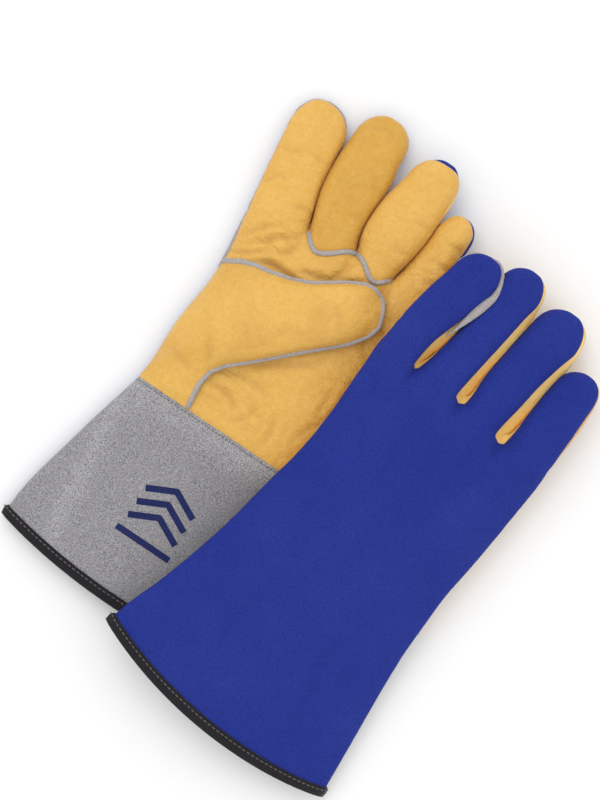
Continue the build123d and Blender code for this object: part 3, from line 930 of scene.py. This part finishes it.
    def welts(self):
        """Welts at the finger bases and round the index finger."""
        skin = self.skin
        palm, index = skin.index("palm"), skin.index("index_palm")
        base = palm[-1, FINGER_COLUMNS : 3 * FINGER_COLUMNS + 1]
        self.welt("finger base welt", skin.points[base], (3.2, 2.6), lift=0.9)
        if self.side == "left":
            round_tip = skin.points[index[-2:-9:-1, -1]]
            tuck, bulge, seen_below = (1.0, 0, -0.9), (0.0, 0.3, 0.15), 226
        else:
            # On the right glove it goes round the tip and down the strip inside the finger.
            round_tip = skin.points[skin.index("index_outer")[-2:14:-1, 2:]].mean(axis=1)
            raised = smoothstep(np.arange(len(round_tip))[:, None], 4, 12)
            round_tip += raised * [0.8, 0, -1.2] + [0, 0, -1.4]
            tuck, bulge, seen_below = (2.0, 0, 0.9), (0.82, 1.3, 0.085), 228
        # It tucks in past the palm, and comes out again near the fingertip.
        low, high = skin.points[palm[EDGE_WELT_ROW:, 0]], skin.points[index[:, 0]]
        for line in (low, high):
            tucked = smoothstep(line[:, 1:2], seen_below, seen_below + 17)
            line += tucked * (1 - smoothstep(line[:, 1:2], 304, 324)) * tuck
        line = np.concatenate([high, round_tip])
        self.welt("index welt", line, (2.6, 2.8), "index", 0.0, (False, True), bulge, 0.1)
        if self.side == "left":
            self.welt("index edge welt", low, (3.3, 2.8), closed=(True, False), extra=True)

    def thumb_plan(self):
        """The thumb seen from above, in rows from its root to its tip and columns across it."""
        inset = self.facts["root_inset"]
        upper, lower, tip = (np.array(line, float) for line in (THUMB_UPPER, THUMB_LOWER, THUMB_TIP))
        for line in (upper, lower, tip):
            line[:, 1] += self.shorter * smoothstep(line[:, 1], WRIST_Y, 170)
        upper[0, 0] = max(upper[0, 0], self.inner(upper[0, 1]) + inset)
        a, b = spaced(upper, THUMB_ROWS), spaced(lower, THUMB_ROWS)
        edge_y = np.linspace(a[0, 1], WRIST_Y, 40)
        root_line = np.stack([self.inner(edge_y) + inset, edge_y], axis=1)
        root = spaced(np.concatenate([root_line, lower[:1]]), THUMB_COLUMNS)
        cap = spaced(np.concatenate([upper[-1:], tip[::-1], lower[-1:]]), THUMB_COLUMNS)
        # Rows are straight between the two long edges, but for the first and the last ones.
        length = np.linspace(0, 1, THUMB_ROWS + 1)[:, None, None]
        s = np.linspace(0, 1, THUMB_COLUMNS + 1)[:, None]
        plan = mix(a[:, None], b[:, None], s)
        plan = plan + (1 - length) ** 1.6 * (root - mix(a[0], b[0], s))
        return plan + length**6 * (cap - mix(a[-1], b[-1], s))

    def thumb(self):
        """The winged thumb that lies across the palm, with its welt."""
        height = self.facts["thumb_height"]
        x, y = np.moveaxis(self.thumb_plan(), 2, 0)
        under = self.palm_height(x, y)
        t = np.linspace(-1, 1, THUMB_COLUMNS + 1)[None]
        length = np.linspace(0, 1, THUMB_ROWS + 1)[:, None]
        close = np.sqrt(np.clip(1 - smoothstep(length, 0.8, 1.0) ** 2, 0, 1))
        rise = smoothstep(length, 0.02, 0.42)
        body = height * rise * swell(t, 2.6) * close
        edge_lift = 1.6 + 3.4 * height / LEFT["thumb_height"] * rise
        top = under + edge_lift * smoothstep(length, 0.0, 0.06) + 0.3 + body * 0.72
        marks = folds(x, y, WING_FOLDS) + 0.35 * waves(x, y, 40, 6) + 0.08 * waves(x, y, 11, 7)
        top += marks * smoothstep(np.minimum(1 - np.abs(t), 0.3), 0, 0.2) * smoothstep(1 - length, 0, 0.1)
        low = mix(np.maximum(under + 0.5, top - 1.4 - 2 * body), top, np.abs(t) ** 12)
        low[[0, -1]] = top[[0, -1]]
        inside = np.maximum(top - LEATHER, (low + top) / 2)
        front, behind, lining = (np.stack([x, y, z], axis=2) for z in (top, low, inside))
        quads = grid_quads(*x.shape)
        middle_x = x.ravel()[quads].mean(axis=1)
        skin = Skin()
        skin.add("front", front, "front", flip=True)
        skin.weld()
        # The wing's crease depths go with it as painted shade in its creases.
        looks = {
            "normals": skin.normals()[skin.index("front").ravel()],
            "fields": {"fold_shade": np.clip(-marks * 0.5, 0, 1).ravel()},
        }
        wing = middle_x < THUMB_HINGE_X
        past = middle_x >= THUMB_HINGE_X - 12
        # The lining stops short of the closed end by the wrist.
        lined = past & (quads[:, 0] > 2 * THUMB_COLUMNS)
        self.piece("thumb wing", front.reshape(-1, 3), quads[wing, ::-1], GOLD, "thumb", **looks)
        self.piece("thumb front", front.reshape(-1, 3), quads[~wing, ::-1], GOLD, "thumb", **looks)
        self.piece("thumb back", behind.reshape(-1, 3), quads[past], GOLD, "thumb")
        self.piece("thumb lining", lining.reshape(-1, 3), quads[lined], COTTON, "thumb")
        rim = resample(np.concatenate([front[:, 0], front[-1, 1:-1], front[::-1, -1]]), WELT_STEP)[0]
        split = int(np.flatnonzero(rim[:, 1] > WING_SPLIT_Y + self.shorter)[-1])
        self.welt("thumb welt", rim[: split + 1], (3.5, 3.0), "thumb", -0.3, (True, False))
        self.welt("wing welt", rim[split:], (3.5, 3.0), "thumb", -0.3, (False, True))


def cuff_mark(glove):
    """A plain navy mark of three chevrons over a bar, printed on the grey cuff."""
    strips = [[(-24, 34), (16, 34)]]
    strips += [[(-22, 44 + 10 * k), (-4, 53 + 10 * k), (14, 44 + 10 * k)] for k in range(3)]
    for number, line in enumerate(strips):
        centre, ahead = resample(line, 0.8)
        side = np.stack([-ahead[:, 1], ahead[:, 0]], axis=1)
        plan = centre[:, None] + side[:, None] * np.linspace(-2.1, 2.1, 5)[None, :, None]
        z = glove.palm_height(plan[..., 0], plan[..., 1]) + 0.08
        grid = np.concatenate([plan, z[..., None]], axis=2)
        faces = grid_quads(*z.shape)[:, ::-1]
        glove.piece(f"cuff print {number}", grid.reshape(-1, 3), faces, PRINT, extra=True)


for facts in (LEFT, RIGHT):
    glove = Glove(facts)
    glove.panels()
    glove.binding()
    glove.wrist_seam()
    glove.welts()
    glove.thumb()
    if glove.side == "left":
        cuff_mark(glove)


# Floor, light and camera ------------------------

FLOOR_SIZE = 30.0
FLOOR_GAP = 0.0004
bpy.ops.mesh.primitive_plane_add(size=FLOOR_SIZE, location=(0, 0, -FLOOR_GAP))
floor = bpy.context.object
floor.name = "floor"
paper = Finish("pale floor", Roughness=0.9, Specular_IOR_Level=0.1, Base_Color=(0.9, 0.9, 0.9, 1))
floor.data.materials.append(paper.material)

world = bpy.data.worlds.new("studio")
world.use_nodes = True
sky = world.node_tree.nodes["Background"].inputs
sky["Color"].default_value = (1, 1, 1, 1)
sky["Strength"].default_value = 1.0
bpy.context.scene.world = world

for name, place, size, power in (
    ("key", (-0.9, 0.7, 1.6), 1.4, 9.0),
    ("fill", (1.2, -0.6, 1.8), 1.8, 2.0),
):
    lamp = bpy.data.lights.new(name, "AREA")
    lamp.size = size
    lamp.energy = power
    light = bpy.data.objects.new(name, lamp)
    light.location = place
    light.rotation_euler = (-Vector(place)).to_track_quat("-Z", "Y").to_euler()
    bpy.context.collection.objects.link(light)

CAMERA_PLACE = (-0.0252, 0.011, 1.42)
CAMERA_TURN = radians(37.25)
camera_data = bpy.data.cameras.new("camera")
camera_data.lens = 100
camera = bpy.data.objects.new("camera", camera_data)
camera.location = CAMERA_PLACE
camera.rotation_euler = (0, 0, CAMERA_TURN)
bpy.context.collection.objects.link(camera)
bpy.context.scene.camera = camera
bpy.context.scene.view_settings.view_transform = "Standard"
